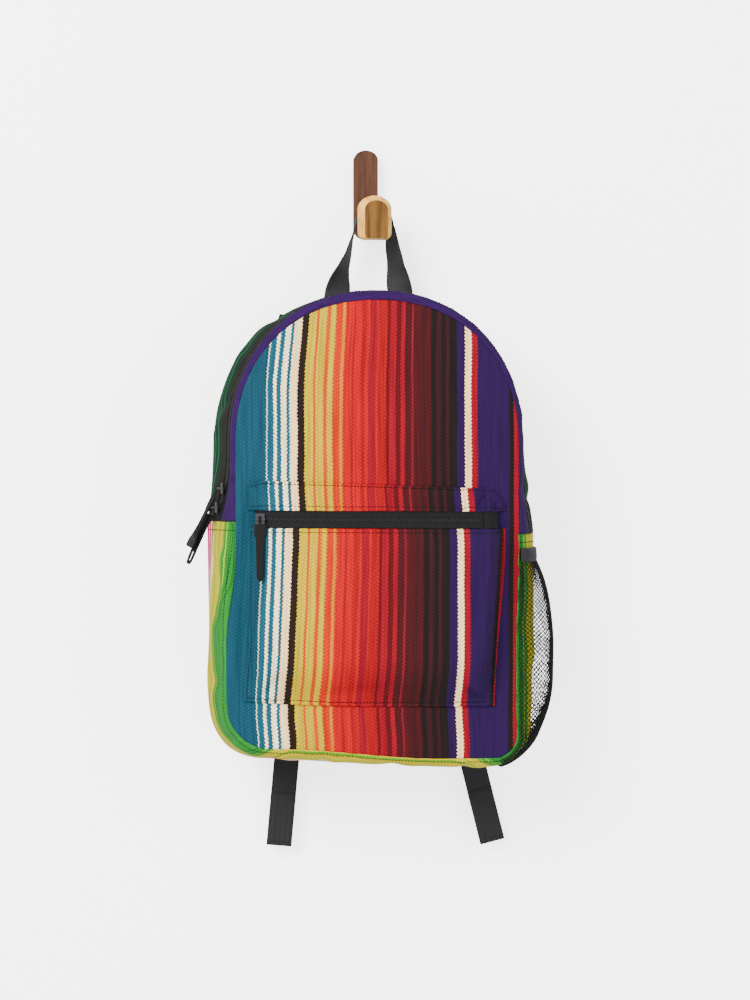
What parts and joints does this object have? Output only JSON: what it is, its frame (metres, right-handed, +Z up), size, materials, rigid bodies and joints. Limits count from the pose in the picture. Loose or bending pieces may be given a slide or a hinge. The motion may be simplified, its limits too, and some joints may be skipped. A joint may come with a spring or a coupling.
{
  "type": "backpack on a wall hook",
  "caption": "Arched daypack with zipped compartment, zipped front pocket and net side pocket, hanging by its grab handle from a wooden wall hook.",
  "frame": {"origin": "centre of the hook plate's back face, on the wall", "axes": "+Z up, +X to the right seen from the front, -Y out of the wall towards the viewer"},
  "size_m": [0.3555, 0.172, 0.6921],
  "materials": {
    "striped_cloth": "woven cotton, multicolour stripes",
    "purple_cloth": "woven cotton",
    "green_cloth": "woven cotton, dark green stripes",
    "lower_cloth": "woven cotton, green and pink stripes",
    "plain_cloth": "plain polyester cloth",
    "zip_tape": "zip tape with nylon coil",
    "net": "knitted net",
    "elastic": "woven elastic band",
    "handle_webbing": "polyester webbing",
    "black_webbing": "polyester webbing",
    "dark_metal": "black plated metal",
    "pull_rubber": "moulded rubber",
    "lock_plastic": "moulded plastic",
    "walnut": "oiled",
    "plywood": "sanded edge, clear finish"
  },
  "bodies": {
    "pack_on_hook": {"front_panel": "striped_cloth", "front_strip": "purple_cloth", "main_zip": "zip_tape", "rear_gusset": "green_cloth", "lower_gusset": "lower_cloth", "back_panel": "plain_cloth", "pocket_top": "striped_cloth", "pocket_zip": "zip_tape", "pocket_zip_tab": "zip_tape", "pocket_front": "striped_cloth", "pocket_slider": "dark_metal", "main_slider_upper": "dark_metal", "main_slider_lower": "dark_metal", "mesh_pocket": "net", "mesh_elastic": "elastic", "grab_handle": "handle_webbing", "shoulder_strap_left": "plain_cloth", "shoulder_strap_right": "plain_cloth", "strap_loop_left": "black_webbing", "strap_loop_right": "black_webbing", "ladder_lock_left": "lock_plastic", "ladder_lock_right": "lock_plastic", "adjust_webbing_left": "black_webbing", "adjust_webbing_right": "black_webbing", "hook_plate": "walnut", "hook_arm": "plywood", "hook_tab": "walnut"},
    "pull_pocket_pull": {"pocket_pull": "pull_rubber"},
    "pull_main_pull_upper": {"main_pull_upper": "pull_rubber"},
    "pull_main_pull_lower": {"main_pull_lower": "pull_rubber"}
  },
  "joints": [
    {"name": "pocket_pull_hinge", "type": "hinge", "parent": "pack_on_hook", "child": "pull_pocket_pull", "pos_m": [-0.114, -0.16254, -0.3215], "axis": [-1, 0, 0], "range_deg": [0, 100]},
    {"name": "main_pull_upper_hinge", "type": "hinge", "parent": "pack_on_hook", "child": "pull_main_pull_upper", "pos_m": [-0.15115, -0.1061, -0.293], "axis": [0, 1, 0], "range_deg": [0, 100]},
    {"name": "main_pull_lower_hinge", "type": "hinge", "parent": "pack_on_hook", "child": "pull_main_pull_lower", "pos_m": [-0.15622, -0.09976, -0.311], "axis": [0, 1, 0], "range_deg": [0, 90]}
  ]
}
